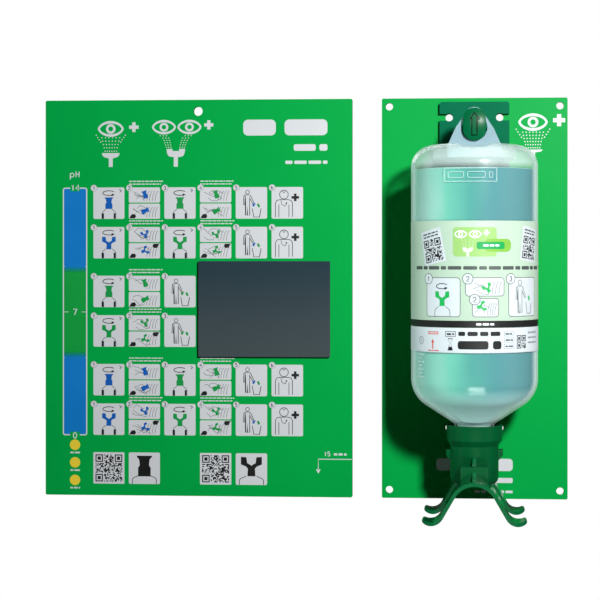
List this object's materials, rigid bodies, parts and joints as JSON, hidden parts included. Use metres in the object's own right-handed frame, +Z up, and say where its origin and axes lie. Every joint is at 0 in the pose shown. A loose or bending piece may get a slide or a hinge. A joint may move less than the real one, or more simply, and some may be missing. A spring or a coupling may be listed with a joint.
{
  "type": "wall-mounted eyewash station",
  "caption": "Wall-mounted eyewash station: instruction board with mirror, and a hook board that carries an inverted eyewash bottle with a twist cap and twin eyecups.",
  "frame": {"origin": "centre of the bottle board's back face, which lies on the wall", "axes": "+X to the right along the wall, +Z up, +Y into the wall; the front faces -Y"},
  "size_m": [0.3873, 0.0997, 0.3004],
  "materials": {
    "board": "satin",
    "print_film": "satin",
    "foam_tape": "matte",
    "mirror_sheet": "polished",
    "bracket_plastic": "satin",
    "tab_plastic": "satin",
    "bottle_plastic": "satin",
    "saline": "clear",
    "insert_plastic": "satin",
    "label_film": "satin",
    "lot_label_film": "satin",
    "seal_rubber": "matte",
    "cap_plastic": "gloss",
    "eyecup_plastic": "gloss",
    "rose_plastic": "gloss"
  },
  "bodies": {
    "wall_boards": {"info_board": "board", "info_print_film": "print_film", "mirror_tape": "foam_tape", "mirror": "mirror_sheet", "bottle_board": "board", "bottle_print_film": "print_film", "hook_bracket": "bracket_plastic", "hook_button": "bracket_plastic", "bracket_rivets": "bracket_plastic"},
    "hanger": {"hanger_tab": "tab_plastic"},
    "bottle": {"bottle_shell": "bottle_plastic", "saline_solution": "saline", "neck_insert": "insert_plastic", "product_label": "label_film", "lot_label": "lot_label_film"},
    "seal": {"seal_ring": "seal_rubber"},
    "cap": {"twist_collar": "cap_plastic", "cap_housing": "cap_plastic", "eyecup_front": "eyecup_plastic", "eyecup_rear": "eyecup_plastic", "spray_rose_front": "rose_plastic", "spray_rose_rear": "rose_plastic"}
  },
  "joints": [
    {"name": "hanger_lift", "type": "slide", "parent": "wall_boards", "child": "hanger", "axis": [0, 0, 1], "range_m": [0, 0.005]},
    {"name": "bottle_tilt", "type": "hinge", "parent": "hanger", "child": "bottle", "pos_m": [0, -0.055, 0.1011], "axis": [-1, 0, 0], "range_deg": [0, 25]},
    {"name": "cap_twist", "type": "hinge", "parent": "bottle", "child": "seal", "pos_m": [0, -0.055, -0.1085], "axis": [0, 0, 1], "range_deg": [0, 360]},
    {"name": "cap_drop", "type": "slide", "parent": "seal", "child": "cap", "axis": [0, 0, -1], "range_m": [0, 0.003]}
  ],
  "couplings": [
    {"joint": "cap_drop", "follows": "cap_twist", "m_per_rad": 0.00047746}
  ]
}
